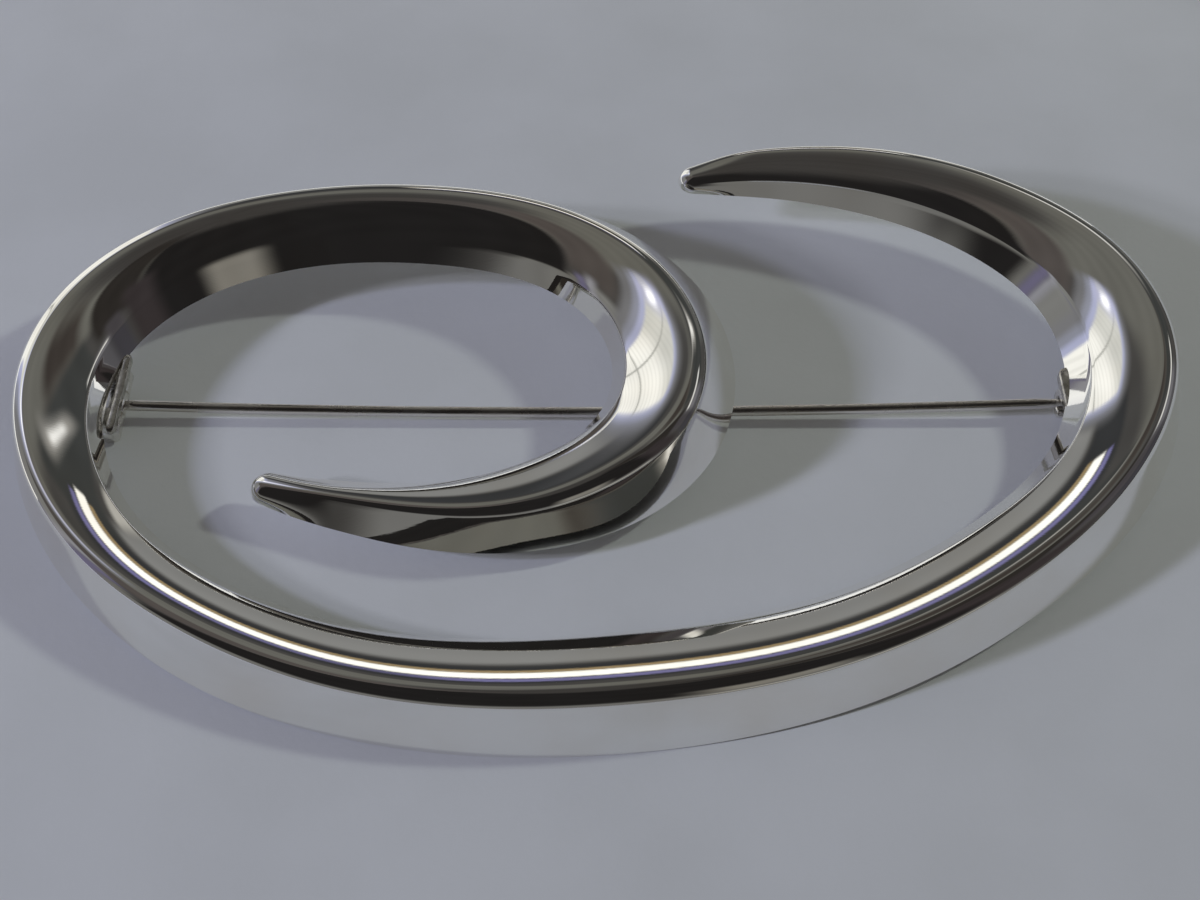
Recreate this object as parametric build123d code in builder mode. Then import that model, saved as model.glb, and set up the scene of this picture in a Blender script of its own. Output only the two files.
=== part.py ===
from build123d import *
from collections import namedtuple
import math
import os

# Silver brooch: one hollow ribbon wound as a spiral, running out to a horn at each end, with a hinged
# pin stem across its open back. Millimetres. It lies on a flat surface at z = 0 as it would by itself,
# on the ribbon's front edge, the hinge and the catch. +X runs along its length, +Y away from the front.

# Ribbon
SPIRAL_LENGTH = 75.7     # of the ribbon's middle line, side to side
SPIRAL_DEPTH = 43.2      # of the ribbon's middle line, front to back
RIBBON_WIDTH = 8.7       # at its widest, across the back
WALL_HEIGHT = 3.3        # outer wall, up to where the crown begins, where the ribbon is widest
CROWN_RADIUS = 1.4       # rounded crown, at the same place
SLOPE_START = 13.0       # degrees below level, where the crown runs into the sloping top
CREASE_WIDTH = 0.3       # rounding of the edge between the sloping top and the inner wall
CREASE_FALL = 50.0       # degrees below level, across that rounding
SHEET = 0.9              # thickness of the silver
NARROWEST_HOLLOW = 5.0   # narrower than this, the horns are solid

# Hinge
HINGE_LENGTH = 5.4
KNUCKLE_DIAMETER = 1.8
KNUCKLE_GAP = 0.12       # between two knuckles
HINGE_STEP = 0.9         # how far the knuckles stand out from the inner wall's foot
RIVET_DIAMETER = 0.8
RIVET_FIT = 0.01         # radial, in the two soldered knuckles
RIVET_CLEARANCE = 0.04   # radial, in the stem's knuckle

# Catch
CATCH_LENGTH = 4.6       # soldered foot, along the inner wall
CATCH_WIDTH = 2.6        # along the stem
CATCH_STEP = 0.5         # how far it stands out from the inner wall's foot
CATCH_SHEET = 0.55
CATCH_CLEARANCE = 0.12   # between the hook and the stem
CATCH_MOUTH = 100.0      # degrees left open at the hook's front

# Fittings
FITTING_DEPTH = 2.3      # hinge and catch, from the back down to what the brooch lies on
SOLDER_BITE = 0.25       # how far a soldered foot reaches into the ribbon

# Pin stem
STEM_DIAMETER = 0.75
STEM_BOW = 0.4           # how far it bends down and forwards between hinge and catch
STEM_NECK = 2.0          # straight stretch out of its knuckle
STEM_POINT = 5.0         # length of the sharpened end
STEM_POINT_DIAMETER = 0.2
STEM_OVERHANG = 2.2      # past the middle of the catch

# The ribbon's slices, from the outer horn to the inner one. x and y place its middle, as shares of the
# spiral's length and depth. width is a share of the widest. flare and crease are shares of the slice's
# own width: how far the outer wall leans in, and how far across the crease lies. rise is the crease's
# height as a share of the outer wall's.
Slice = namedtuple("Slice", "x y width flare crease rise")
RIBBON = [
    Slice(0.094, 0.518, 0.29, 0.20, 0.84, 0.82),
    Slice(0.126, 0.525, 0.40, 0.17, 0.85, 0.80),
    Slice(0.178, 0.528, 0.51, 0.16, 0.85, 0.80),
    Slice(0.245, 0.516, 0.62, 0.16, 0.85, 0.80),
    Slice(0.322, 0.478, 0.72, 0.16, 0.85, 0.77),
    Slice(0.392, 0.412, 0.80, 0.17, 0.84, 0.71),
    Slice(0.467, 0.267, 0.87, 0.12, 0.83, 0.66),
    Slice(0.487, 0.065, 0.90, 0.11, 0.84, 0.64),
    Slice(0.450, -0.105, 0.85, 0.18, 0.86, 0.64),
    Slice(0.365, -0.256, 0.85, 0.18, 0.87, 0.64),
    Slice(0.210, -0.409, 0.90, 0.18, 0.87, 0.64),
    Slice(0.014, -0.482, 0.94, 0.20, 0.88, 0.64),
    Slice(-0.190, -0.471, 0.86, 0.23, 0.88, 0.64),
    Slice(-0.348, -0.366, 0.78, 0.26, 0.88, 0.64),
    Slice(-0.451, -0.202, 0.69, 0.17, 0.88, 0.64),
    Slice(-0.499, 0.046, 0.75, 0.12, 0.88, 0.64),
    Slice(-0.480, 0.192, 0.85, 0.21, 0.87, 0.57),
    Slice(-0.418, 0.312, 0.86, 0.24, 0.86, 0.55),
    Slice(-0.312, 0.394, 0.85, 0.28, 0.86, 0.55),
    Slice(-0.168, 0.412, 0.88, 0.31, 0.87, 0.56),
    Slice(-0.030, 0.350, 0.92, 0.33, 0.89, 0.60),
    Slice(0.047, 0.224, 0.97, 0.31, 0.92, 0.64),
    Slice(0.069, 0.081, 1.00, 0.25, 0.91, 0.64),
    Slice(0.049, -0.041, 0.99, 0.21, 0.88, 0.64),
    Slice(-0.013, -0.138, 0.89, 0.20, 0.88, 0.64),
    Slice(-0.068, -0.174, 0.77, 0.19, 0.89, 0.64),
    Slice(-0.148, -0.186, 0.61, 0.26, 0.84, 0.66),
    Slice(-0.215, -0.172, 0.47, 0.33, 0.77, 0.70),
    Slice(-0.268, -0.152, 0.36, 0.36, 0.72, 0.74),
    Slice(-0.296, -0.138, 0.29, 0.38, 0.70, 0.76),
]

# The blunt tip of a horn: how far out each slice lies and how large it is, as shares of the last slice
Tip = namedtuple("Tip", "out size")
TIP = [Tip(0.0, 1.0), Tip(0.18, 0.92), Tip(0.36, 0.70), Tip(0.46, 0.40)]

os.makedirs("parts", exist_ok=True)

# The ribbon's middle line, the way across it at each slice and its inner and front edges on the back
middles = [Vector(s.x * SPIRAL_LENGTH, s.y * SPIRAL_DEPTH) for s in RIBBON]
with BuildLine() as spiral:
    Spline(*middles)
headings = [spiral.edge().tangent_at(middle) for middle in middles]
inwards = [Vector(heading.Y, -heading.X) for heading in headings]
inner_feet = [m + i * s.width * RIBBON_WIDTH / 2 for m, i, s in zip(middles, inwards, RIBBON)]
front_slice = min(RIBBON, key=lambda s: s.y)
front_edge = spiral.edge().bounding_box().min.Y - front_slice.width * RIBBON_WIDTH / 2

# Hinge axis, stem and catch, all measured from the back of the ribbon. The hinge sits on the foot that lies
# furthest left and the catch on the one furthest right.
hinge_foot = inner_feet[middles.index(min(middles, key=lambda middle: middle.X))]
catch_foot = inner_feet[middles.index(max(middles, key=lambda middle: middle.X))]
stem_y = hinge_foot.Y
hinge_x = hinge_foot.X + HINGE_STEP - KNUCKLE_DIAMETER / 2
hinge_z = KNUCKLE_DIAMETER / 2 - FITTING_DEPTH
hook_radius = STEM_DIAMETER / 2 + CATCH_CLEARANCE
catch_x = catch_foot.X - CATCH_STEP + CATCH_WIDTH / 2
catch_z = hook_radius + CATCH_SHEET - FITTING_DEPTH

# How the brooch lies: its back is tilted up from the front edge until the fittings touch the surface
fittings_front = stem_y - HINGE_LENGTH / 2
tilt = math.atan2(FITTING_DEPTH, fittings_front - front_edge)
lying = Plane(
    origin=(0, 0, -front_edge * math.sin(tilt)),
    x_dir=(1, 0, 0),
    z_dir=(0, -math.sin(tilt), math.cos(tilt)),
)


def on_back(origin, x_dir, z_dir):
    """A plane given in the ribbon's own frame, its back being flat, set where the brooch lies."""
    return Plane(lying.location * Plane(origin=origin, x_dir=x_dir, z_dir=z_dir).location)


def across_slice(middle, heading, width, flare, crease, rise, sheet=0.0):
    """A slice across the ribbon or, with the sheet's thickness, across its hollow.

    It runs up the flared outer wall, over the rounded crown, down the sloping top, over the crease and
    down the inner wall. The hollow's slice is as much smaller, and reaches a little below the back.
    """
    share = width / RIBBON_WIDTH
    lean = math.atan2(WALL_HEIGHT * share, flare * width)
    crown = (WALL_HEIGHT + CROWN_RADIUS * (1 - math.cos(lean))) * share
    below = sheet / 2
    shrink = (crown - sheet + below) / crown
    side = width / 2 - sheet / math.sin(lean)
    half_turn = (lean + math.radians(SLOPE_START)) / 2
    crown_chord = 2 * CROWN_RADIUS * share * shrink * math.sin(half_turn)
    crown_rise = lean - half_turn
    crease_run = CREASE_WIDTH * share * shrink
    crease_drop = crease_run * math.tan(math.radians(CREASE_FALL))
    crease_top = rise * WALL_HEIGHT * share * shrink - below
    outer_foot = Vector(-side, -below)
    wall_top = outer_foot + Vector(flare * width, WALL_HEIGHT * share) * shrink
    crown_end = wall_top + Vector(math.cos(crown_rise), math.sin(crown_rise)) * crown_chord
    inner_foot = Vector(side, -below)
    inner_top = Vector(side - (1 - crease) * width * shrink, crease_top - crease_drop)
    slope_end = Vector(inner_top.X - crease_run, crease_top)
    plane = on_back(middle, x_dir=(heading.Y, -heading.X), z_dir=-heading)
    with BuildSketch(plane) as outline:
        with BuildLine():
            wall = Line(outer_foot, wall_top)
            crown_arc = TangentArc(wall_top, crown_end, tangent=wall % 1)
            slope = TangentArc(crown_end, slope_end, tangent=crown_arc % 1)
            TangentArc(slope_end, inner_top, tangent=slope % 1)
            Line(inner_top, inner_foot)
            Line(inner_foot, outer_foot)
        make_face()
    return outline.sketch


def ribbon_slice(index, sheet=0.0):
    """The ribbon's slice with this number in the table, or its hollow's."""
    row = RIBBON[index]
    return across_slice(middles[index], headings[index], row.width * RIBBON_WIDTH, row.flare, row.crease,
                        row.rise, sheet)


def tip_slices(index, outwards):
    """The shrinking slices of the blunt tip beyond the slice with this number."""
    row = RIBBON[index]
    width = row.width * RIBBON_WIDTH
    return [
        across_slice(middles[index] + outwards * tip.out * width, headings[index], tip.size * width,
                     row.flare, row.crease, row.rise)
        for tip in TIP
    ]


# The ribbon, hollow from behind where it is wide enough, with its soldered hinge knuckles and catch
hollow_slices = [i for i, s in enumerate(RIBBON) if s.width * RIBBON_WIDTH >= NARROWEST_HOLLOW]
knuckle_length = (HINGE_LENGTH - 2 * KNUCKLE_GAP) / 3
knuckle_starts = [stem_y + HINGE_LENGTH / 2, stem_y - HINGE_LENGTH / 2 + knuckle_length]
hook_outer = hook_radius + CATCH_SHEET
mouth = math.radians(CATCH_MOUTH / 2)

with BuildPart() as swirl_body:
    loft([ribbon_slice(i) for i in range(len(RIBBON))])
    loft(tip_slices(0, -headings[0]), ruled=True)
    loft(tip_slices(-1, headings[-1]), ruled=True)
    loft([ribbon_slice(i, SHEET) for i in hollow_slices], mode=Mode.SUBTRACT)
    for start in knuckle_starts:
        with BuildSketch(on_back((hinge_x, start, hinge_z), x_dir=(1, 0, 0), z_dir=(0, -1, 0))):
            Circle(KNUCKLE_DIAMETER / 2)
            with Locations((KNUCKLE_DIAMETER / 2 - HINGE_STEP, 0)):
                Rectangle(SHEET, SOLDER_BITE - hinge_z, align=(Align.MAX, Align.MIN))
            Circle(RIVET_DIAMETER / 2 + RIVET_FIT, mode=Mode.SUBTRACT)
        extrude(amount=knuckle_length)
    with BuildSketch(on_back((catch_x - CATCH_WIDTH / 2, stem_y, catch_z), x_dir=(0, 1, 0), z_dir=(1, 0, 0))):
        Circle(hook_outer)
        with Locations((0, hook_outer)):
            Rectangle(CATCH_LENGTH, CATCH_SHEET, align=(Align.CENTER, Align.MAX))
        with Locations((0, hook_radius)):
            Rectangle(CATCH_LENGTH, SOLDER_BITE - catch_z - hook_radius, align=(Align.CENTER, Align.MIN))
        Circle(hook_radius, mode=Mode.SUBTRACT)
        with BuildLine():
            reach = 2 * hook_outer
            Polyline(
                (0, 0),
                (-reach * math.cos(mouth), -reach * math.sin(mouth)),
                (-reach, 0),
                (-reach, hook_radius),
                (0, hook_radius),
                close=True,
            )
        make_face(mode=Mode.SUBTRACT)
    extrude(amount=CATCH_WIDTH)
swirl_body.part.label = "swirl_body"

# The pin stem: a wire that leaves its knuckle straight and bows a little down and forwards, with a sharpened
# end just past the hook and its own knuckle between the soldered two
stem_end = catch_x + STEM_OVERHANG - STEM_POINT
span = stem_end - hinge_x
fall = Vector(span, -4 * STEM_BOW, catch_z - hinge_z - 4 * STEM_BOW) * (STEM_NECK / span)
stem_root = lying.from_local_coords(Vector(hinge_x, stem_y, hinge_z))
stem_neck = lying.from_local_coords(Vector(hinge_x, stem_y, hinge_z) + fall)
stem_shoulder = lying.from_local_coords(Vector(stem_end, stem_y, catch_z))
knuckle_plane = on_back((hinge_x, stem_y + knuckle_length / 2, hinge_z), x_dir=(-1, 0, 0), z_dir=(0, -1, 0))

with BuildPart() as pin_stem:
    with BuildLine():
        neck = Line(stem_root, stem_neck)
        TangentArc(stem_neck, stem_shoulder, tangent=neck % 1)
    with BuildSketch(Plane(origin=neck @ 0, z_dir=neck % 0)):
        Circle(STEM_DIAMETER / 2)
    sweep()
    shoulder = pin_stem.faces().sort_by(Axis.X)[-1]
    point_taper = math.degrees(math.atan2((STEM_DIAMETER - STEM_POINT_DIAMETER) / 2, STEM_POINT))
    extrude(shoulder, amount=STEM_POINT, taper=point_taper)
    with BuildSketch(knuckle_plane):
        Circle(KNUCKLE_DIAMETER / 2)
    extrude(amount=knuckle_length)
    with BuildSketch(knuckle_plane):
        Circle(RIVET_DIAMETER / 2 + RIVET_CLEARANCE)
    extrude(amount=knuckle_length, mode=Mode.SUBTRACT)
pin_stem.part.label = "pin_stem"

# The rivet, through all three knuckles
with BuildPart() as hinge_rivet:
    with BuildSketch(on_back((hinge_x, stem_y + HINGE_LENGTH / 2, hinge_z), x_dir=(1, 0, 0), z_dir=(0, -1, 0))):
        Circle(RIVET_DIAMETER / 2)
    extrude(amount=HINGE_LENGTH)
hinge_rivet.part.label = "hinge_rivet"

export_step(swirl_body.part, "parts/swirl_body.step")
export_step(pin_stem.part, "parts/pin_stem.step")
export_step(hinge_rivet.part, "parts/hinge_rivet.step")
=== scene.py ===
# %% [markdown]
# # A silver spiral brooch
# One ribbon of silver, hollow from behind, winds as a spiral and runs out to a horn at each end. A wire pin
# stem crosses its open back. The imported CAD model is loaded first, as a fixed frame: every piece below is
# made in metres in that frame and rides on one of its bodies.

import math

import bmesh
import bpy
import numpy as np
from mathutils import Matrix, Vector


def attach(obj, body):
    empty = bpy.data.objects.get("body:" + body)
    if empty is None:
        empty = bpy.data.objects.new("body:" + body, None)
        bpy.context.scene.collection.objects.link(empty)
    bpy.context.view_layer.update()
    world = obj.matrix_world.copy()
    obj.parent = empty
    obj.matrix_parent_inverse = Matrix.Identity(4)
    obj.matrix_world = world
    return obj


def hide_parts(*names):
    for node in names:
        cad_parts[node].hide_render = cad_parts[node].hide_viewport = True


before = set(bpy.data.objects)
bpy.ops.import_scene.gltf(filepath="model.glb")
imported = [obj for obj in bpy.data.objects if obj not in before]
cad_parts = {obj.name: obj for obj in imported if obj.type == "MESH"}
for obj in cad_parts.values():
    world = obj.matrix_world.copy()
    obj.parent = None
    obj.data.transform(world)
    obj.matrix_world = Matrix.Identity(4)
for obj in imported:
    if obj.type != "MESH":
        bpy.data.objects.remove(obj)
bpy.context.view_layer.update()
MM = 0.001

# %% [markdown]
# ## The ribbon's shape
# The real ribbon was raised from sheet over a form: a flared outer wall, a narrow rounded crown, a broad top
# that slopes inwards, a crisp crease and a short upright inner wall. It could be a curve with a bevel, but its
# width and slope change all the way round, so it is a skin of closed rings instead. The rings stand on a
# smooth line through a short table of slices, the same sizes that the CAD model is lofted through.

# %% Named sizes and the table of slices
SPIRAL_LENGTH = 75.7 * MM
SPIRAL_DEPTH = 43.2 * MM
RIBBON_WIDTH = 8.7 * MM
WALL_HEIGHT = 3.3 * MM
CROWN_RADIUS = 1.4 * MM
SLOPE_START = 13.0          # degrees below level
CREASE_WIDTH = 0.3 * MM
CREASE_FALL = 50.0          # degrees below level
SHEET = 0.9 * MM

# x and y as shares of the spiral's length and depth, width as a share of the widest, flare and crease as
# shares of the slice's own width, and the crease's height as a share of the wall's
RIBBON = [
    (0.094, 0.518, 0.29, 0.20, 0.84, 0.82),
    (0.126, 0.525, 0.40, 0.17, 0.85, 0.80),
    (0.178, 0.528, 0.51, 0.16, 0.85, 0.80),
    (0.245, 0.516, 0.62, 0.16, 0.85, 0.80),
    (0.322, 0.478, 0.72, 0.16, 0.85, 0.77),
    (0.392, 0.412, 0.80, 0.17, 0.84, 0.71),
    (0.467, 0.267, 0.87, 0.12, 0.83, 0.66),
    (0.487, 0.065, 0.90, 0.11, 0.84, 0.64),
    (0.450, -0.105, 0.85, 0.18, 0.86, 0.64),
    (0.365, -0.256, 0.85, 0.18, 0.87, 0.64),
    (0.210, -0.409, 0.90, 0.18, 0.87, 0.64),
    (0.014, -0.482, 0.94, 0.20, 0.88, 0.64),
    (-0.190, -0.471, 0.86, 0.23, 0.88, 0.64),
    (-0.348, -0.366, 0.78, 0.26, 0.88, 0.64),
    (-0.451, -0.202, 0.69, 0.17, 0.88, 0.64),
    (-0.499, 0.046, 0.75, 0.12, 0.88, 0.64),
    (-0.480, 0.192, 0.85, 0.21, 0.87, 0.57),
    (-0.418, 0.312, 0.86, 0.24, 0.86, 0.55),
    (-0.312, 0.394, 0.85, 0.28, 0.86, 0.55),
    (-0.168, 0.412, 0.88, 0.31, 0.87, 0.56),
    (-0.030, 0.350, 0.92, 0.33, 0.89, 0.60),
    (0.047, 0.224, 0.97, 0.31, 0.92, 0.64),
    (0.069, 0.081, 1.00, 0.25, 0.91, 0.64),
    (0.049, -0.041, 0.99, 0.21, 0.88, 0.64),
    (-0.013, -0.138, 0.89, 0.20, 0.88, 0.64),
    (-0.068, -0.174, 0.77, 0.19, 0.89, 0.64),
    (-0.148, -0.186, 0.61, 0.26, 0.84, 0.66),
    (-0.215, -0.172, 0.47, 0.33, 0.77, 0.70),
    (-0.268, -0.152, 0.36, 0.36, 0.72, 0.74),
    (-0.296, -0.138, 0.29, 0.38, 0.70, 0.76),
]
table = np.array(RIBBON)
middles = table[:, :2] * (SPIRAL_LENGTH, SPIRAL_DEPTH)
print("slices", len(table))

# %% [markdown]
# The line through the slices is a natural cubic spline: the one smooth curve that passes every point with the
# least bending. The same function carries the width, the flare and the crease along the ribbon.

# %% A smooth line through the table
chords = np.linalg.norm(np.diff(middles, axis=0), axis=1)
knots = np.concatenate([[0.0], np.cumsum(chords)])


def smooth(values, at):
    """Values of the natural cubic spline through the table's values, at these distances along it."""
    steps = np.diff(knots)
    count = len(knots)
    system = np.eye(count)
    right = np.zeros((count,) + values.shape[1:])
    for i in range(1, count - 1):
        system[i, i - 1 : i + 2] = steps[i - 1], 2 * (steps[i - 1] + steps[i]), steps[i]
        right[i] = 6 * ((values[i + 1] - values[i]) / steps[i] - (values[i] - values[i - 1]) / steps[i - 1])
    bend = np.linalg.solve(system, right)
    i = np.clip(np.searchsorted(knots, at) - 1, 0, count - 2)
    h = steps[i]
    a = (knots[i + 1] - at) / h
    b = (at - knots[i]) / h
    if values.ndim > 1:
        a, b, h = a[:, None], b[:, None], h[:, None]
    return (a * values[i] + b * values[i + 1]
            + ((a**3 - a) * bend[i] + (b**3 - b) * bend[i + 1]) * h**2 / 6)


RINGS = 820
along = np.linspace(0.0, knots[-1], RINGS)
line = smooth(middles, along)
nudge = 0.01 * MM
ahead_of = smooth(middles, np.clip(along + nudge, 0, knots[-1]))
behind = smooth(middles, np.clip(along - nudge, 0, knots[-1]))
headings = ahead_of - behind
headings /= np.linalg.norm(headings, axis=1)[:, None]
inwards = np.stack([headings[:, 1], -headings[:, 0]], axis=1)
widths = smooth(table[:, 2], along) * RIBBON_WIDTH
flares = smooth(table[:, 3], along)
creases = smooth(table[:, 4], along)
rises = smooth(table[:, 5], along)
print("length of the middle line, mm", round(knots[-1] / MM, 1))

# %% [markdown]
# The brooch lies face up on the sheet, on the ribbon's front edge, the hinge and the catch, so its flat back is
# tilted a few degrees. The ribbon is worked out on its back and then laid down by one turn and one lift.

# %% How it lies
FITTING_DEPTH = 2.3 * MM
HINGE_LENGTH = 5.4 * MM

slice_ring = [int(np.argmin(abs(along - k))) for k in knots]
inner_feet = [middles[i] + inwards[r] * widths[r] / 2 for i, r in enumerate(slice_ring)]
hinge_foot = inner_feet[int(np.argmin(middles[:, 0]))]
catch_foot = inner_feet[int(np.argmax(middles[:, 0]))]
stem_y = hinge_foot[1]
front_edge = (line - inwards * widths[:, None] / 2)[:, 1].min()
tilt = math.atan2(FITTING_DEPTH, stem_y - HINGE_LENGTH / 2 - front_edge)
lying = Matrix.Translation((0, 0, -front_edge * math.sin(tilt))) @ Matrix.Rotation(tilt, 4, "X")
print("tilt, degrees", round(math.degrees(tilt), 2))

# %% [markdown]
# A ring starts at the outer foot, goes up the wall, over the crown, down the sloping top, round the crease and
# down the inner wall. Arcs that leave each stretch along its own direction keep the polished surface free of
# kinks, which a mirror finish would show at once.

# %% One ring
def tangent_arc(start, direction, end, count):
    """Points of the arc from start, leaving along direction, to end, and the direction at its end."""
    chord = end - start
    normal = np.array([-direction[1], direction[0]])
    across = chord @ normal
    if abs(across) < 1e-9:
        return start + np.linspace(0, 1, count)[:, None] * chord, direction
    radius = (chord @ chord) / (2 * across)
    centre = start + normal * radius
    first = start - centre
    last = end - centre
    sweep = math.atan2(first[0] * last[1] - first[1] * last[0], first @ last)
    angles = np.linspace(0, sweep, count)
    cos, sin = np.cos(angles), np.sin(angles)
    points = centre + np.stack([first[0] * cos - first[1] * sin, first[0] * sin + first[1] * cos], axis=1)
    turn = np.array([[math.cos(sweep), -math.sin(sweep)], [math.sin(sweep), math.cos(sweep)]])
    return points, turn @ direction


WALL_STEPS, CROWN_STEPS, SLOPE_STEPS, CREASE_STEPS, INNER_STEPS = 9, 18, 22, 7, 7


def face_of_ring(width, flare, crease, rise, sheet=0.0):
    """The ring's outer side or, with the sheet's thickness, the side of its hollow."""
    share = width / RIBBON_WIDTH
    lean = math.atan2(WALL_HEIGHT * share, flare * width)
    shrink = 1 - sheet / (WALL_HEIGHT + CROWN_RADIUS * (1 - math.cos(lean))) / share
    side = width / 2 - sheet / math.sin(lean)
    foot = np.array([-side, 0.0])
    wall_top = foot + np.array([flare * width, WALL_HEIGHT * share]) * shrink
    half_turn = (lean + math.radians(SLOPE_START)) / 2
    crown_chord = 2 * CROWN_RADIUS * share * shrink * math.sin(half_turn)
    crown_rise = lean - half_turn
    crown_end = wall_top + np.array([math.cos(crown_rise), math.sin(crown_rise)]) * crown_chord
    run = CREASE_WIDTH * share * shrink
    crease_top = rise * WALL_HEIGHT * share * shrink
    fall = run * math.tan(math.radians(CREASE_FALL))
    inner_top = np.array([side - (1 - crease) * width * shrink, crease_top - fall])
    slope_end = np.array([inner_top[0] - run, crease_top])
    up = (wall_top - foot) / np.linalg.norm(wall_top - foot)
    wall = foot + np.linspace(0, 1, WALL_STEPS)[:, None] * (wall_top - foot)
    crown, leaving = tangent_arc(wall_top, up, crown_end, CROWN_STEPS)
    slope, leaving = tangent_arc(crown_end, leaving, slope_end, SLOPE_STEPS)
    rounding, leaving = tangent_arc(slope_end, leaving, inner_top, CREASE_STEPS)
    inner_foot = np.array([side, 0.0])
    inner_wall = inner_top + np.linspace(0, 1, INNER_STEPS)[:, None] * (inner_foot - inner_top)
    return np.concatenate([wall, crown[1:], slope[1:], rounding[1:], inner_wall[1:]])


ring = face_of_ring(RIBBON_WIDTH, 0.25, 0.9, 0.64)
print("points over a ring's outer side", len(ring))

# %% [markdown]
# The hollow is the same ring, smaller by the sheet's thickness, and it runs out where the horns become too
# narrow to be hollow. The two sides meet in a soft rim at each foot. At both horns the rings shrink to a blunt
# tip, like the end of a bullet.

# %% Skin of the ribbon
NARROWEST_HOLLOW = 5.0 * MM
HOLLOW_FADE = 1.6 * MM      # width over which the hollow gets its full depth
ROUND_END = 5.0 * MM        # how far from its end a horn's section gets rounder
ROUNDEST = 0.75             # share of the oval in the last ring
OVAL_HEIGHT = 0.43          # of the width
HOLLOW_EVERY = 2            # the hollow's side has fewer points


def closed_ring(width, flare, crease, rise, from_end=1.0):
    """Outer side and hollow side as one closed loop of points across the ribbon, rounder near a horn's end."""
    outer = face_of_ring(width, flare, crease, rise)
    rounder = ROUNDEST * max(0, 1 - from_end / ROUND_END) ** 1.5
    if rounder > 0:
        steps = np.linalg.norm(np.diff(outer, axis=0), axis=1)
        turn = math.pi * np.concatenate([[0], np.cumsum(steps)]) / steps.sum()
        oval = np.stack([-width / 2 * np.cos(turn), OVAL_HEIGHT * width * np.sin(turn)], axis=1)
        outer = outer * (1 - rounder) + oval * rounder
    flat = np.stack([outer[:, 0] * (1 - 2 * SHEET / RIBBON_WIDTH), np.zeros(len(outer))], axis=1)
    depth = np.clip((width - NARROWEST_HOLLOW) / HOLLOW_FADE, 0, 1)
    depth = depth * depth * (3 - 2 * depth)
    hollow = flat
    if depth > 0:
        hollow = flat * (1 - depth) + face_of_ring(width, flare, crease, rise, SHEET) * depth
    return np.concatenate([outer, hollow[::-1][::HOLLOW_EVERY]])


# %% Tips of the horns and all rings
TIP_REACH = 0.50            # of the last ring's width
TIP_RINGS = 20
LAST_STEP_SHORT = 0.35      # the last ring stays a little short of a point

tips = []
for end, sign in ((0, -1), (RINGS - 1, 1)):
    tip = []
    section = closed_ring(widths[end], flares[end], creases[end], rises[end], 0)
    narrowing = abs(widths[end] - widths[end - 3 * sign]) / (3 * along[1])
    first = math.atan(narrowing * TIP_REACH)
    for step in range(1, TIP_RINGS + 1):
        angle = first + (math.pi / 2 - first) * step / (TIP_RINGS + LAST_STEP_SHORT)
        out = sign * TIP_REACH * widths[end] * (math.sin(angle) - math.sin(first)) / math.cos(first)
        scaled = section * math.cos(angle) / math.cos(first)
        where = line[end] + headings[end] * out
        tip.append((where, inwards[end], scaled))
    tips.append(tip)
body_rings = [
    (line[i], inwards[i],
     closed_ring(widths[i], flares[i], creases[i], rises[i], min(along[i], along[-1] - along[i])))
    for i in range(RINGS)
]
all_rings = tips[0][::-1] + body_rings + tips[1]

points = np.array([
    [(where[0] + inward[0] * u, where[1] + inward[1] * u, v) for u, v in section]
    for where, inward, section in all_rings
])
ring_count, ring_size = points.shape[:2]
print("rings", ring_count, "points in a ring", ring_size)

# %% [markdown]
# Every piece of this brooch is a skin over rings of points, from the ribbon down to the stem's wire. Such a
# skin could be a curve object or a modifier. As plain mesh code its smooth shading, its caps and its sharp
# edges are under one function's control, and each piece is laid down with the ribbon.

# %% Make a mesh object from rings
SHARP_FROM = 40.0           # degrees between two faces


def ring_mesh(name, points, round_trip=False):
    """A skin over rings of points, each ring a closed loop. Its ends are capped, or joined to each other."""
    ring_count, ring_size = points.shape[:2]
    here = np.arange(ring_size)
    after = (here + 1) % ring_size
    faces = []
    for r in range(ring_count if round_trip else ring_count - 1):
        a, b = r * ring_size, (r + 1) % ring_count * ring_size
        faces += np.stack([a + here, b + here, b + after, a + after], axis=1).tolist()
    if not round_trip:
        faces.append(here.tolist())
        faces.append(((ring_count - 1) * ring_size + here[::-1]).tolist())
    mesh = bpy.data.meshes.new(name)
    mesh.from_pydata(points.reshape(-1, 3).tolist(), [], faces)
    mesh.transform(lying)
    bm = bmesh.new()
    bm.from_mesh(mesh)
    bmesh.ops.recalc_face_normals(bm, faces=bm.faces)
    bm.to_mesh(mesh)
    bm.free()
    mesh.polygons.foreach_set("use_smooth", [True] * len(mesh.polygons))
    mesh.set_sharp_from_angle(angle=math.radians(SHARP_FROM))
    piece = bpy.data.objects.new(name, mesh)
    bpy.context.scene.collection.objects.link(piece)
    return piece


ribbon = ring_mesh("silver_ribbon", points)
print("ribbon faces", len(ribbon.data.polygons))

# %% [markdown]
# ## Hinge, catch and stem
# Under the left end a strip of solder holds two short tubes, the outer knuckles of a hinge. The stem's own
# knuckle turns between them on a rivet. Tubes like these are drawn and sawn off, so they are turned here from
# one section with small bevels, and the rivet's ends are hammered to low domes.

# %% Turned pieces
KNUCKLE_DIAMETER = 1.8 * MM
KNUCKLE_GAP = 0.12 * MM
HINGE_STEP = 0.9 * MM
RIVET_DIAMETER = 0.8 * MM
RIVET_FIT = 0.01 * MM       # round the rivet, in the two fixed knuckles
RIVET_CLEARANCE = 0.04 * MM
RIVET_DOME = 0.12 * MM
BEVEL = 0.07 * MM
TURNS = 48
hinge_x = hinge_foot[0] + HINGE_STEP - KNUCKLE_DIAMETER / 2
hinge_z = KNUCKLE_DIAMETER / 2 - FITTING_DEPTH
knuckle_length = (HINGE_LENGTH - 2 * KNUCKLE_GAP) / 3
turn_angles = np.linspace(0, 2 * math.pi, TURNS, endpoint=False)


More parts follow.
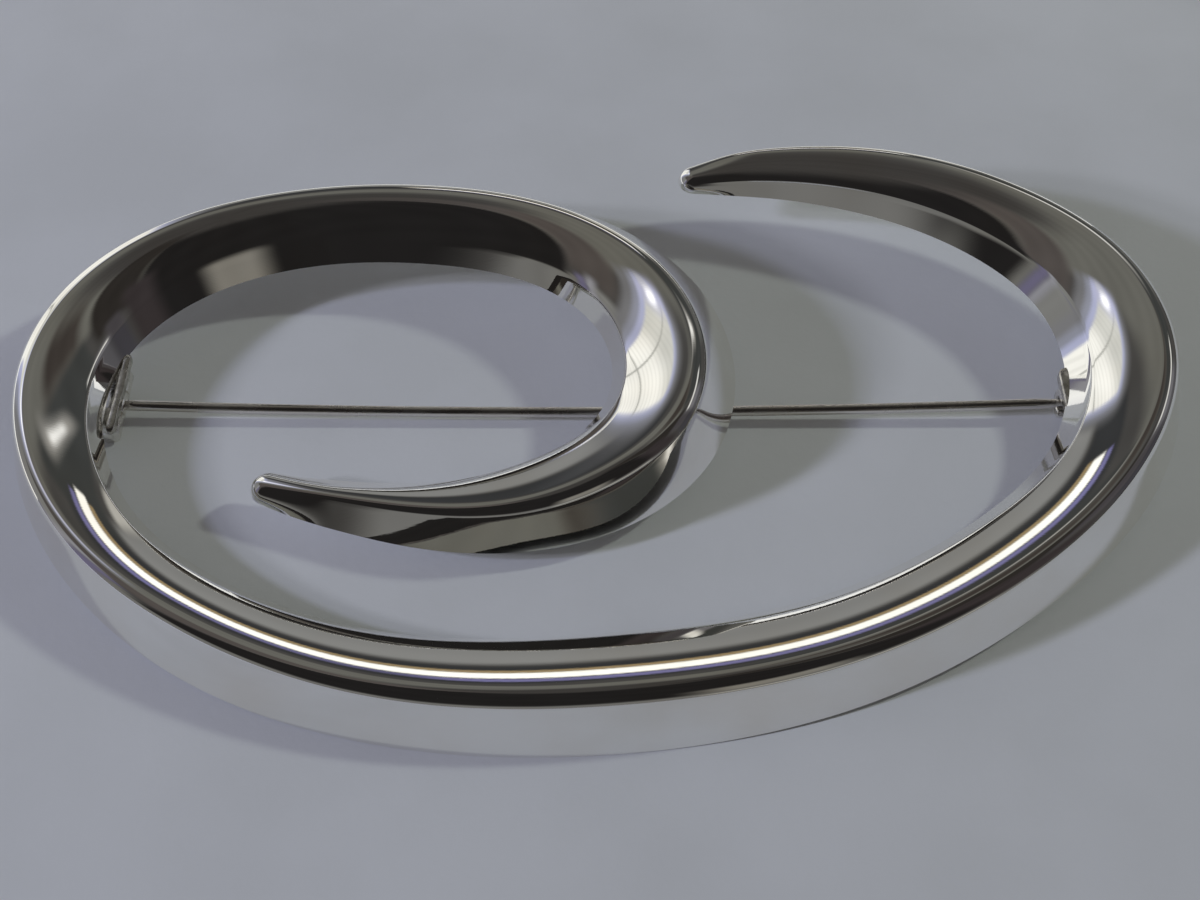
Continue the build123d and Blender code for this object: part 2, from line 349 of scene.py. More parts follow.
def tube(name, start, length, outer, bore):
    """A short tube along the hinge's axis, with bevelled ends."""
    eased = BEVEL * 0.3
    section = [(bore, 0), (bore, length), (outer - BEVEL, length), (outer - eased, length - eased),
               (outer, length - BEVEL), (outer, BEVEL), (outer - eased, eased), (outer - BEVEL, 0)]
    rings = [[(hinge_x + r * math.cos(a), start + y, hinge_z + r * math.sin(a)) for r, y in section]
             for a in turn_angles]
    return ring_mesh(name, np.array(rings), round_trip=True)


def rod(name, stations):
    """A round bar along the hinge's axis through stations of place and radius."""
    rings = [[(hinge_x + r * math.cos(a), y, hinge_z + r * math.sin(a)) for a in turn_angles]
             for y, r in stations]
    return ring_mesh(name, np.array(rings))


first_y = stem_y - HINGE_LENGTH / 2
step_y = knuckle_length + KNUCKLE_GAP
tight_bore = RIVET_DIAMETER / 2 + RIVET_FIT
loose_bore = RIVET_DIAMETER / 2 + RIVET_CLEARANCE
near_knuckle = tube("near_knuckle", first_y, knuckle_length, KNUCKLE_DIAMETER / 2, tight_bore)
far_knuckle = tube("far_knuckle", first_y + 2 * step_y, knuckle_length, KNUCKLE_DIAMETER / 2, tight_bore)
stem_knuckle = tube("stem_knuckle", first_y + step_y, knuckle_length, KNUCKLE_DIAMETER / 2, loose_bore)
dome = [(-RIVET_DOME * math.cos(t), RIVET_DIAMETER / 2 * math.sin(t))
        for t in np.linspace(0.15, math.pi / 2, 7)]
rivet = rod("rivet", [(first_y + y, r) for y, r in dome]
            + [(first_y + HINGE_LENGTH - y, r) for y, r in dome[::-1]])
print("hinge at, mm", round(hinge_x / MM, 2), round(stem_y / MM, 2), round(hinge_z / MM, 2))

# %% [markdown]
# Solder runs into a joint and sets in a soft, slightly lumpy seam. Over the hinge it is one long flat strip,
# which hides the knuckles from above, with two short legs to the fixed knuckles and the ribbon. Each is a skin
# of rounded rings with a few slow waves in it instead of one clean shape.

# %% Solder
SOLDER_BITE = 0.25 * MM
SEAM_LENGTH = 6.8 * MM
SEAM_WIDTH = 0.62 * MM
SEAM_STEP = 0.72 * MM       # in from the hinge's axis
SEAM_SKEW = 0.08 * MM       # sideways, at each end
SEAM_FOOT = -0.42 * MM      # below the ribbon's back
LEG_BACK, LEG_FRONT = 0.85 * MM, 0.3 * MM   # of each leg, from the hinge's axis
LEG_INSET = 0.05 * MM       # in from the knuckle's ends
LEG_MARGIN = 0.1 * MM       # at its foot and its top
SWELL = 0.03 * MM           # how much wider a block of solder is at its top
LUMP = 0.008 * MM
LEAST = 0.02                # of a block's or a seam's size, at its very end


def fillet(name, low, high, swell, rings=26, ring_size=72):
    """A lumpy block between two corners. It swells by this much towards its upper side.

    The powers under 1 square its rings off.
    """
    low, high = np.array(low), np.array(high)
    centre, half = (low + high) / 2, (high - low) / 2
    a = np.linspace(0, 2 * math.pi, ring_size, endpoint=False)
    loops = []
    for t in np.linspace(0, 1, rings):
        end = math.sqrt(max(1 - abs(2 * t - 1) ** 8, LEAST))
        grow = swell * t**2
        wave = LUMP * (np.sin(5 * a + 9 * t) + 0.6 * np.sin(11 * a - 14 * t))
        x = np.sign(np.cos(a)) * abs(np.cos(a)) ** 0.45 * ((half[0] + grow) * end + wave)
        y = np.sign(np.sin(a)) * abs(np.sin(a)) ** 0.3 * ((half[1] + grow) * end + wave)
        z = np.full(ring_size, low[2] + (high[2] - low[2]) * t)
        loops.append(np.stack([centre[0] + x, centre[1] + y, z], axis=1))
    return ring_mesh(name, np.array(loops))


def seam(name, middle_line, wide, low, high, rings=150, ring_size=28):
    """A lumpy strip along a line of points, from low to high, that thins out at both ends."""
    at = np.linspace(0, len(middle_line) - 1, rings)
    whole = np.clip(at.astype(int), 0, len(middle_line) - 2)
    centres = middle_line[whole] + (middle_line[whole + 1] - middle_line[whole]) * (at - whole)[:, None]
    ahead = np.gradient(centres, axis=0)
    ahead /= np.linalg.norm(ahead, axis=1)[:, None]
    side = np.stack([ahead[:, 1], -ahead[:, 0]], axis=1)
    a = np.linspace(0, 2 * math.pi, ring_size, endpoint=False)
    loops = []
    for k, share in enumerate(np.linspace(-1, 1, rings)):
        full = math.sqrt(max(1 - share**16, LEAST / 2))
        lump = LUMP * (math.sin(7 * share) + 0.7 * math.sin(15 * share + 1) + 0.6 * np.sin(2 * a + 5 * share))
        u = np.sign(np.cos(a)) * abs(np.cos(a)) ** 0.4 * (wide / 2 * full + lump * 2)
        v = (low + high) / 2 + np.sign(np.sin(a)) * abs(np.sin(a)) ** 0.4 * ((high - low) / 2 * full + lump)
        loops.append([(*(centres[k] + side[k] * i), j) for i, j in zip(u, v)])
    return ring_mesh(name, np.array(loops))


# %% Seam and legs of the hinge
seam_line = np.array([(hinge_x + SEAM_STEP - SEAM_SKEW, stem_y - SEAM_LENGTH / 2),
                      (hinge_x + SEAM_STEP + SEAM_SKEW, stem_y + SEAM_LENGTH / 2)])
solder_pieces = [seam("hinge_seam", seam_line, SEAM_WIDTH, SEAM_FOOT, SOLDER_BITE)]
for name, knuckle in (("near_solder", 0), ("far_solder", 2)):
    start = first_y + knuckle * step_y
    solder_pieces.append(fillet(
        name, (hinge_x - LEG_BACK, start + LEG_INSET, hinge_z + LEG_MARGIN),
        (hinge_x + LEG_FRONT, start + knuckle_length - LEG_INSET, -LEG_MARGIN), SWELL))
print("seam length, mm", round(SEAM_LENGTH / MM, 1))

# %% [markdown]
# The catch is a strip of sheet bent into a hook that is open to the front, on a soldered foot. The hook's
# section is followed round its outer and its inner side, and its edges are eased as a file would leave them.

# %% Catch
CATCH_SHEET = 0.55 * MM
CATCH_LENGTH = 4.6 * MM     # of its foot, along the inner wall
CATCH_WIDTH = 2.6 * MM      # along the stem
CATCH_STEP = 0.5 * MM       # how far it stands out from the inner wall's foot
CATCH_CLEARANCE = 0.12 * MM
CATCH_MOUTH = 100.0         # degrees left open
HOOK_START = 118.0          # degrees, where the hook leaves its foot
FOOT_INSETS = 0.04 * MM, 0.05 * MM          # of the foot, along the stem and along the wall
EASED_ENDS = ((0.0, 0.10), (0.04, 0.03), (0.12, 0.0))   # mm in from an edge, and how much thinner there
STEM_DIAMETER = 0.75 * MM
hook_radius = STEM_DIAMETER / 2 + CATCH_CLEARANCE
hook_outer = hook_radius + CATCH_SHEET
catch_x = catch_foot[0] - CATCH_STEP + CATCH_WIDTH / 2
catch_z = hook_outer - FITTING_DEPTH


def hook_section(eased):
    """The hook's closed section, thinner by this much all round."""
    first, last = math.radians(HOOK_START), math.radians(CATCH_MOUTH / 2 - 180)
    angles = np.linspace(first, last, 34)
    middle, half = (hook_outer + hook_radius) / 2, CATCH_SHEET / 2 - eased
    outer = [((middle + half) * math.cos(a), (middle + half) * math.sin(a)) for a in angles]
    inner = [((middle - half) * math.cos(a), (middle - half) * math.sin(a)) for a in angles[::-1]]
    lip = []
    for t in np.linspace(0, math.pi, 9)[1:-1]:
        reach, past = middle + half * math.cos(t), half * math.sin(t)
        lip.append((reach * math.cos(last) + past * math.sin(last),
                    reach * math.sin(last) - past * math.cos(last)))
    return outer + lip + inner


hook_stations = list(EASED_ENDS) + [(CATCH_WIDTH / MM - x, eased) for x, eased in EASED_ENDS[::-1]]
hook_rings = []
for x, eased in hook_stations:
    hook_rings.append([(catch_x - CATCH_WIDTH / 2 + x * MM, stem_y + y, catch_z + z)
                       for y, z in hook_section(eased * MM)])
hook = ring_mesh("catch_hook", np.array(hook_rings))
foot_half = CATCH_LENGTH / 2 - FOOT_INSETS[1]
solder_pieces.append(fillet(
    "catch_foot",
    (catch_x - CATCH_WIDTH / 2 + FOOT_INSETS[0], stem_y - foot_half, catch_z + hook_radius),
    (catch_x + CATCH_WIDTH / 2, stem_y + foot_half, SOLDER_BITE), SWELL))
print("catch at, mm", round(catch_x / MM, 2), round(catch_z / MM, 2))

# %% [markdown]
# The stem is one drawn wire. It leaves its knuckle, bows a little down and forwards, lies in the hook and ends
# in a filed point. It is swept here along that bow, with a round ring at each station.

# %% Pin stem
STEM_BOW = 0.4 * MM
STEM_ROOT = 0.65 * MM       # from the hinge's axis, inside the wall of its knuckle
STEM_POINT = 5.0 * MM       # length of the sharpened end
STEM_POINT_DIAMETER = 0.2 * MM
STEM_OVERHANG = 2.2 * MM    # past the middle of the catch
BOW_RINGS = 160
stem_end = catch_x + STEM_OVERHANG - STEM_POINT
bow_share = np.linspace(STEM_ROOT / (stem_end - hinge_x), 1, BOW_RINGS)
bow = 4 * STEM_BOW * bow_share * (1 - bow_share)
wire_line = np.stack([hinge_x + (stem_end - hinge_x) * bow_share, stem_y - bow,
                      hinge_z + (catch_z - hinge_z) * bow_share - bow], axis=1)
ahead = wire_line[-1] - wire_line[-2]
ahead /= np.linalg.norm(ahead)
point_share = np.append(np.linspace(0, 0.985, 30)[1:], [0.995, 1.0])
wire_line = np.concatenate([wire_line, wire_line[-1] + point_share[:, None] * STEM_POINT * ahead])
wire_radius = np.full(len(wire_line), STEM_DIAMETER / 2)
wire_radius[BOW_RINGS:] += (STEM_POINT_DIAMETER - STEM_DIAMETER) / 2 * point_share
wire_radius[-2:] = STEM_POINT_DIAMETER * 0.4, STEM_POINT_DIAMETER * 0.15
wire_ahead = np.gradient(wire_line, axis=0)
wire_ahead /= np.linalg.norm(wire_ahead, axis=1)[:, None]
wire_side = np.cross(wire_ahead, (0, 0, 1))
wire_side /= np.linalg.norm(wire_side, axis=1)[:, None]
wire_up = np.cross(wire_side, wire_ahead)
round_angles = np.linspace(0, 2 * math.pi, 36, endpoint=False)
round_wire = (np.cos(round_angles)[:, None] * wire_side[:, None]
              + np.sin(round_angles)[:, None] * wire_up[:, None])
wire_rings = wire_line[:, None] + wire_radius[:, None, None] * round_wire
wire = ring_mesh("pin_wire", wire_rings)
print("stem length, mm", round((wire_line[-1, 0] - hinge_x) / MM, 1))

# %% [markdown]
# ## Silver
# Polished silver is a mirror with a faint warm tone. Years of rubbing leave a haze of very fine hair scratches
# and small smears, so the gloss is never even. The scratches are thin stretched noise in the bump, and the
# smears change only the roughness.

# %% Helpers for materials
def new_material(name):
    """An empty node material with its principled shader."""
    material = bpy.data.materials.new(name)
    material.use_nodes = True
    nodes = material.node_tree.nodes
    return material, nodes, material.node_tree.links, nodes["Principled BSDF"]


def noise_over(nodes, links, scale, stretch=(1, 1, 1), turn=(0, 0, 0), detail=3.0):
    """Noise in the object's own space, stretched and turned."""
    place = nodes.new("ShaderNodeTexCoord")
    mapping = nodes.new("ShaderNodeMapping")
    mapping.inputs["Scale"].default_value = stretch
    mapping.inputs["Rotation"].default_value = turn
    noise = nodes.new("ShaderNodeTexNoise")
    noise.inputs["Scale"].default_value = scale
    noise.inputs["Detail"].default_value = detail
    links.new(place.outputs["Object"], mapping.inputs["Vector"])
    links.new(mapping.outputs["Vector"], noise.inputs["Vector"])
    return noise.outputs["Fac"]


def spread(nodes, links, value, low, high, first, last):
    """A value that goes from first to last as the input goes from low to high."""
    node = nodes.new("ShaderNodeMapRange")
    node.inputs["From Min"].default_value = low
    node.inputs["From Max"].default_value = high
    node.inputs["To Min"].default_value = first
    node.inputs["To Max"].default_value = last
    links.new(value, node.inputs["Value"])
    return node.outputs["Result"]


# %% Polished silver
HAIR_TURNS = 0.4, 1.9       # radians: the two ways in which the brooch was rubbed


def polished_silver(name, colour, gloss, scratch):
    """Silver with smears in its gloss and a haze of hair scratches."""
    material, nodes, links, shader = new_material(name)
    shader.inputs["Metallic"].default_value = 1.0
    tone = nodes.new("ShaderNodeMix")
    tone.data_type = "RGBA"
    tone.inputs["A"].default_value = (*colour, 1)
    tone.inputs["B"].default_value = (colour[0] * 0.95, colour[1] * 0.93, colour[2] * 0.90, 1)
    links.new(spread(nodes, links, noise_over(nodes, links, 120), 0.45, 0.7, 0.0, 1.0), tone.inputs["Factor"])
    links.new(tone.outputs["Result"], shader.inputs["Base Color"])
    smears = noise_over(nodes, links, 260, stretch=(1, 2.5, 1), detail=3.0)
    links.new(spread(nodes, links, smears, 0.35, 0.7, gloss, gloss * 2.5), shader.inputs["Roughness"])
    add = nodes.new("ShaderNodeMath")
    add.operation = "ADD"
    for k, turn in enumerate(HAIR_TURNS):
        hair = noise_over(nodes, links, 1600, stretch=(1, 12, 1), turn=(0, 0, turn), detail=1.0)
        links.new(hair, add.inputs[k])
    bump = nodes.new("ShaderNodeBump")
    bump.inputs["Strength"].default_value = scratch
    bump.inputs["Distance"].default_value = 0.002 * MM
    links.new(add.outputs["Value"], bump.inputs["Height"])
    links.new(bump.outputs["Normal"], shader.inputs["Normal"])
    return material


silver = polished_silver("polished_silver", (0.96, 0.955, 0.93), 0.012, 0.12)
wire_silver = polished_silver("stem_wire", (0.80, 0.77, 0.72), 0.16, 0.9)
fitting_silver = polished_silver("filed_fittings", (0.88, 0.86, 0.82), 0.14, 1.0)
print("silvers", silver.name, wire_silver.name, fitting_silver.name)

# %% [markdown]
# Solder is greyer than the silver that it joins, and it was never polished: its skin is matt in places, with a
# fine crinkle. The same kinds of noise do for it, coarser and with a stronger bump. Then each piece gets its
# finish and its body, and the three CAD solids give way to the pieces that stand for them.

# %% Solder metal
def solder_metal():
    """Solder as it set: greyer than the silver round it, matt in places, with a fine skin."""
    material, nodes, links, shader = new_material("set_solder")
    shader.inputs["Metallic"].default_value = 1.0
    tone = nodes.new("ShaderNodeMix")
    tone.data_type = "RGBA"
    tone.inputs["A"].default_value = (0.74, 0.72, 0.67, 1)
    tone.inputs["B"].default_value = (0.46, 0.44, 0.40, 1)
    links.new(spread(nodes, links, noise_over(nodes, links, 1400), 0.4, 0.65, 0.0, 1.0), tone.inputs["Factor"])
    links.new(tone.outputs["Result"], shader.inputs["Base Color"])
    matt = spread(nodes, links, noise_over(nodes, links, 900), 0.3, 0.7, 0.16, 0.38)
    links.new(matt, shader.inputs["Roughness"])
    bump = nodes.new("ShaderNodeBump")
    bump.inputs["Strength"].default_value = 0.4
    bump.inputs["Distance"].default_value = 0.03 * MM
    links.new(noise_over(nodes, links, 2200, detail=4.0), bump.inputs["Height"])
    links.new(bump.outputs["Normal"], shader.inputs["Normal"])
    return material


solder = solder_metal()

# %% Give each piece its finish and its body
for piece, finish, body, slot in [
    (ribbon, silver, "brooch", "silver"),
    (near_knuckle, fitting_silver, "brooch", "silver"),
    (far_knuckle, fitting_silver, "brooch", "silver"),
    (rivet, fitting_silver, "brooch", "silver"),
    (hook, fitting_silver, "brooch", "silver"),
    (stem_knuckle, fitting_silver, "stem", "stem_silver"),
    (wire, wire_silver, "stem", "stem_silver"),
] + [(piece, solder, "brooch", "silver") for piece in solder_pieces]:
    piece.data.materials.append(finish)
    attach(piece, body)
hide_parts("swirl_body")
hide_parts("hinge_rivet")
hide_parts("pin_stem")
print("solder pieces", len(solder_pieces))

# %% [markdown]
# ## Paper, light and camera
# The brooch was laid on a pale sheet near a window. The sheet has no gloss to speak of, so a faint mottle and a
# fine grain in the bump are all that it needs.

# %% Paper
FLOOR_SIZE = 1.6            # metres
bpy.ops.mesh.primitive_plane_add(size=FLOOR_SIZE)
paper = bpy.context.object
paper.name = "paper"
paper_material, nodes, links, shader = new_material("pale_paper")
tone = nodes.new("ShaderNodeMix")
tone.data_type = "RGBA"
tone.inputs["A"].default_value = (0.80, 0.80, 0.80, 1)
tone.inputs["B"].default_value = (0.76, 0.76, 0.755, 1)
mottle = spread(nodes, links, noise_over(nodes, links, 60, detail=8.0), 0.4, 0.62, 0.0, 1.0)
links.new(mottle, tone.inputs["Factor"])
links.new(tone.outputs["Result"], shader.inputs["Base Color"])
shader.inputs["Roughness"].default_value = 0.6
shader.inputs["Specular IOR Level"].default_value = 0.25
grain = nodes.new("ShaderNodeBump")
grain.inputs["Strength"].default_value = 0.25
grain.inputs["Distance"].default_value = 0.05 * MM
links.new(noise_over(nodes, links, 1800, detail=5.0), grain.inputs["Height"])
links.new(grain.outputs["Normal"], shader.inputs["Normal"])
paper.data.materials.append(paper_material)
print("paper, m", FLOOR_SIZE)

# %% [markdown]
# Shadows lie on the sheet on both sides of the brooch, and the one to its right is double. Their directions
# give the lights: two narrow panels close together on the left and one on the right. One broad light would blur
# the shadows away. The metal doesn't mirror the panels, as it has its own room further down.

# %% Lights
def facing(azimuth, elevation):
    """The direction towards a place around the brooch. Azimuth 0 is behind it, and 90 is to its right."""
    a, e = math.radians(azimuth), math.radians(elevation)
    return Vector((math.sin(a) * math.cos(e), math.cos(a) * math.cos(e), math.sin(e)))


PANEL_DISTANCE = 0.6        # metres
PANEL_SIDE = 4.0            # degrees


def panel(name, azimuth, elevation, radiance, colour):
    """A soft square panel that faces the brooch and isn't mirrored in it."""
    light = bpy.data.lights.new(name, "AREA")
    light.shape = "SQUARE"
    light.size = 2 * PANEL_DISTANCE * math.tan(math.radians(PANEL_SIDE / 2))
    light.energy = radiance * math.pi * light.size**2
    light.color = colour
    lamp = bpy.data.objects.new(name, light)
    lamp.location = facing(azimuth, elevation) * PANEL_DISTANCE
    lamp.rotation_euler = facing(azimuth, elevation).to_track_quat("Z", "Y").to_euler()
    lamp.visible_glossy = False
    bpy.context.scene.collection.objects.link(lamp)
    print(name, "watts", round(light.energy, 2))


panel("left_panel", -102.1, 27.9, 125.0, (0.93, 1.0, 1.44))
panel("left_panel_pane", -106.6, 23.7, 107.0, (0.96, 1.0, 1.19))
panel("right_panel", 69.1, 33.1, 128.0, (0.91, 1.0, 0.92))

# %% [markdown]
# A glowing strip stands close to the brooch, where a photographer would put a pale card for metal. It is a low
# strip bent round the back and the left, and draws the thin bright line along the far rims as a painted
# reflection. It is seen only in the metal, so it neither lights the paper nor throws a shadow.

# %% Glowing card, a painted reflection
def card_object(name, corners, faces, low, middle, high):
    """A glowing card, a painted reflection seen only in the metal, with three colours from its foot to its top.
    """
    mesh = bpy.data.meshes.new(name)
    mesh.from_pydata(corners, [], faces)
    card = bpy.data.objects.new(name, mesh)
    bpy.context.scene.collection.objects.link(card)
    material = bpy.data.materials.new(name + "_glow")
    material.use_nodes = True
    nodes, links = material.node_tree.nodes, material.node_tree.links
    nodes.remove(nodes["Principled BSDF"])
    glow = nodes.new("ShaderNodeEmission")
    fade = nodes.new("ShaderNodeValToRGB")
    fade.color_ramp.elements[0].color = (*low, 1)
    fade.color_ramp.elements[1].color = (*high, 1)
    fade.color_ramp.elements.new(0.45).color = (*middle, 1)
    place = nodes.new("ShaderNodeTexCoord")
    split = nodes.new("ShaderNodeSeparateXYZ")
    links.new(place.outputs["Generated"], split.inputs["Vector"])
    links.new(split.outputs["Z"], fade.inputs["Fac"])
    links.new(fade.outputs["Color"], glow.inputs["Color"])
    links.new(glow.outputs["Emission"], nodes["Material Output"].inputs["Surface"])
    mesh.materials.append(material)
    card.visible_diffuse = False
    card.visible_shadow = False
    card.visible_camera = False


STRIP_ROUND = (92 * MM, 68 * MM)    # how far it stands from the middle, at the sides and at the back
STRIP_FOOT, STRIP_TOP = 1 * MM, 9 * MM
STRIP_FROM, STRIP_TO = -95, 40      # degrees, as the lights are placed
strip_angles = np.radians(np.linspace(STRIP_FROM, STRIP_TO, 60))
strip_corners = [(STRIP_ROUND[0] * math.sin(t), STRIP_ROUND[1] * math.cos(t), z)
                 for t in strip_angles for z in (STRIP_FOOT, STRIP_TOP)]
strip_faces = [(2 * i, 2 * i + 2, 2 * i + 3, 2 * i + 1) for i in range(len(strip_angles) - 1)]
# painted reflection: the glowing strip that draws the bright line along the far rims
card_object("rim_strip", strip_corners, strip_faces, (0.80, 0.80, 0.80), (0.90, 0.90, 0.88), (0.80, 0.80, 0.78))
print("strip faces", len(strip_faces))

# %% [markdown]
# ## The room in the silver
# Polished silver shows its whole surroundings, so the room is drawn too, on the inside of a large dome. Each
# part of the room has its place in degrees, as seen from the brooch, and a colour, and its edges run softly
# into what was painted before. Modelled walls would do the same with much more work. The points stand closer
# together on the left and behind, where the window and the strip light are.

# %% Points of the dome
DOME_RADIUS = 5.0           # metres
FINE, COARSE = 0.5, 1.0     # degrees between the points
azimuths = np.concatenate([np.arange(-180, -112, COARSE), np.arange(-112, 36, FINE),
                           np.arange(36, 180, COARSE)])
elevations = np.concatenate([np.arange(-2, 60, FINE), np.arange(60, 90, 2 * COARSE)])
azimuth, elevation = np.meshgrid(azimuths, elevations)
from_behind = abs(azimuth)
room = np.zeros(azimuth.shape + (3,))
print("dome points", azimuth.size)

# %% Painting
EVERYWHERE = (-200, 200)    # degrees
CAP_SOFT = 3.0


def ease(value, low, high):
    """From 0 to 1, without a kink, as the value goes from low to high."""
    share = np.clip((value - low) / (high - low), 0, 1)
    return share * share * (3 - 2 * share)


def between(value, limits, soft):
    """1 between the two limits and 0 outside them, with soft edges."""
    low, high = limits
    return ease(value, low - soft, low + soft) * (1 - ease(value, high - soft, high + soft))


def part(colour, azimuths, elevations, soft=3.0, rise=0.0, cap=200.0, around=azimuth):
    """Paint one more part over the room, nowhere above its cap, and return how fully it covers each point.

    Its top and foot rise by so many degrees for each degree round.
    """
    cover = between(around, azimuths, soft) * between(elevation - around * rise, elevations, soft)
    cover = cover * (1 - ease(elevation, cap - CAP_SOFT, cap + CAP_SOFT))
    room[:] = room + (np.asarray(colour) - room) * cover[..., None]
    return cover


# %% [markdown]
# The walls come first. They are dim and nearly grey, lighter where they meet the ceiling, and the whole side
# towards the front is dark, which is why the brooch's front looks almost black above its bright rim. What lies
# in front of it on the table is the one pale band there.

# %% Walls, ceiling and table
part((0.060, 0.058, 0.056), EVERYWHERE, (-20, 100))                     # walls
part((0.130, 0.128, 0.115), EVERYWHERE, (54, 74), 4)                    # edge of the ceiling
part((0.045, 0.042, 0.040), EVERYWHERE, (77, 110), 3)                   # ceiling
part((0.045, 0.038, 0.034), (22, 62), (54, 72), 7)                      # dark round the lamp
part((0.080, 0.070, 0.066), (-112, -78), (36, 80), 7)                   # dim corner on the left
part((0.15, 0.147, 0.138), (-138, -104), (-5, 26), 6)                   # pale wall, front left
part((0.15, 0.148, 0.143), (112, 200), (-20, 12), 3, around=from_behind)    # table in front
part((0.014, 0.013, 0.013), (112, 200), (16, 81), 4, around=from_behind)    # dark side in front
part((0.025, 0.022, 0.020), (74, 112), (43, 84), 4)                     # dark, high on the right
part((0.10, 0.10, 0.095), (20, 46), (-20, 22), 4)                       # wall behind, to the right
part((0.22, 0.22, 0.215), (-22, 8), (-20, 24), 3)                       # wall straight behind
part((0.035, 0.036, 0.038), (-24, 6), (26.5, 44), 2)                    # dark round the strip light
part((0.045, 0.047, 0.046), (4, 66), (24, 54), 3)                       # dark shelf behind, to the right
part((0.44, 0.43, 0.40), (8, 19), (-20, 19), 2.5)                       # door post
print("mean grey of the walls", round(float(room.mean()), 3))

# %% [markdown]
# On the right a pale band is painted in as the right panel's reflection, which brightens the right rim, and a
# lamp makes the one round highlight at the left end. Further to the front the room gets dark, apart from a pale
# box on the table.

# %% Right side
part((0.08, 0.078, 0.085), (66, 84), (-20, 18), 4)                      # lower wall
part((0.15, 0.147, 0.16), (66, 84), (16, 38), 4)                        # upper wall
part((0.75, 0.74, 0.71), (54, 80), (32, 37), 2)                         # painted reflection of the right panel
part((0.30, 0.29, 0.27), (12, 34), (55, 63), 4, rise=-0.55)             # shade of the lamp
part((1.0, 0.99, 0.96), (17, 29), (57.5, 60.5), 2.6, rise=-0.55)        # lamp
part((0.045, 0.043, 0.05), (83, 98), (-5, 24), 4)                       # cupboard
part((0.06, 0.055, 0.06), (82, 97), (24, 46), 4)                        # top of the cupboard
part((0.036, 0.030, 0.031), (101, 120), (8, 58), 5)                     # open door
part((0.20, 0.19, 0.17), (143, 163), (13, 32), 5)                       # pale box
part((0.40, 0.39, 0.36), (120, 164), (3.5, 6.5), 2)                     # edge of the table
print("brightest on the right", round(float(room.max()), 2))

# %% [markdown]
# The window stands on the left, towards the back. Its top slopes in the reflection, daylight gives it a violet
# haze, and a blind with a crossbar dims it from behind. The blind is painted over the whole room and then kept
# only where the pane covers it. A last bright spot is the sun at the window's top corner.

# %% Left side and window
DAYLIGHT = (0.96, 0.95, 0.90)
BLIND = (0.45, 0.45, 0.42)
SLAT_TURNS = 149.0          # degrees of the slats' wave for each degree of height
SLAT_DEPTH = 0.22
window = {"rise": -0.8, "cap": 57}
part((0.19, 0.19, 0.185), (-96, -56), (-20, 34))                        # wall beside the window
part((0.17, 0.17, 0.19), (-96, -62), (-20, 12), 4)                      # lower wall
part((0.26, 0.26, 0.29), (-99, -92), (-20, 38), 4)                      # door frame
part((0.13, 0.12, 0.19), (-106, -99), (-20, 34))                        # its bluish edge
part((0.17, 0.17, 0.18), (-74, -22), (-60, 23), 4, **window)            # haze round the window
part((0.26, 0.27, 0.33), (-66, -24), (-60, 20), 3, **window)
part((0.42, 0.44, 0.62), (-61, -25.5), (-60, 18.6), 2, **window)
before = room.copy()
pane = part(DAYLIGHT, (-57, -26.5), (-60, 16.8), 1.5, **window)
part((0.64, 0.64, 0.60), EVERYWHERE, (37, 60), 5)                       # dimmer towards the top
part(BLIND, (-45.2, -44.2), (-20, 60), 0.4)                             # middle bar
part(BLIND, (-60, -10), (21, 22), 0.4)                                  # crossbar
slats = SLAT_DEPTH * ease(np.sin(np.radians(SLAT_TURNS) * elevation), 0.1, 0.95)[..., None]
room[:] = room + (np.array(BLIND) - room) * slats
room[:] = before + (room - before) * pane[..., None]
part((0.50, 0.51, 0.70), (-60, -43), (50, 56), 4)                       # haze round the sun
part((1.50, 1.50, 1.55), (-54, -48), (51, 54.5), 2.4)                   # sun
print("share of the dome under the window", round(float(pane.mean()), 3))

# %% [markdown]
# A strip light behind the brooch draws the long white line round its front. The line is warm on its lower side
# and violet on its upper one, as a lens leaves it in a photograph. At last a slow wave goes over everything,
# because nothing in a room is evenly lit.

# %% Strip light and uneven light
part((0.32, 0.24, 0.13), (-9, 10), (30.6, 33), 0.7)                     # warm lower edge
part((1.15, 1.13, 1.06), (-9, 12), (33.2, 38.2), 0.8)                   # strip light
part((0.18, 0.17, 0.34), (-9, 10), (39, 41.4), 0.8)                     # violet upper edge
# painted uneven light: a slow wave makes the room's colours a little brighter and darker
UNEVEN_LIGHT = 0.07
uneven_light = 1 + UNEVEN_LIGHT * np.sin(azimuth / 7 + elevation / 9) * np.sin(azimuth / 4.1 - elevation / 5.3)
room[:] = room * uneven_light[..., None]
print("brightest of all", round(float(room.max()), 2))

# %% [markdown]
# The dome's points carry the colours, and its material glows with them. Only the metal sees it: it lights
# nothing, throws no shadow and is hidden from the camera. The paper has a plain grey world instead.

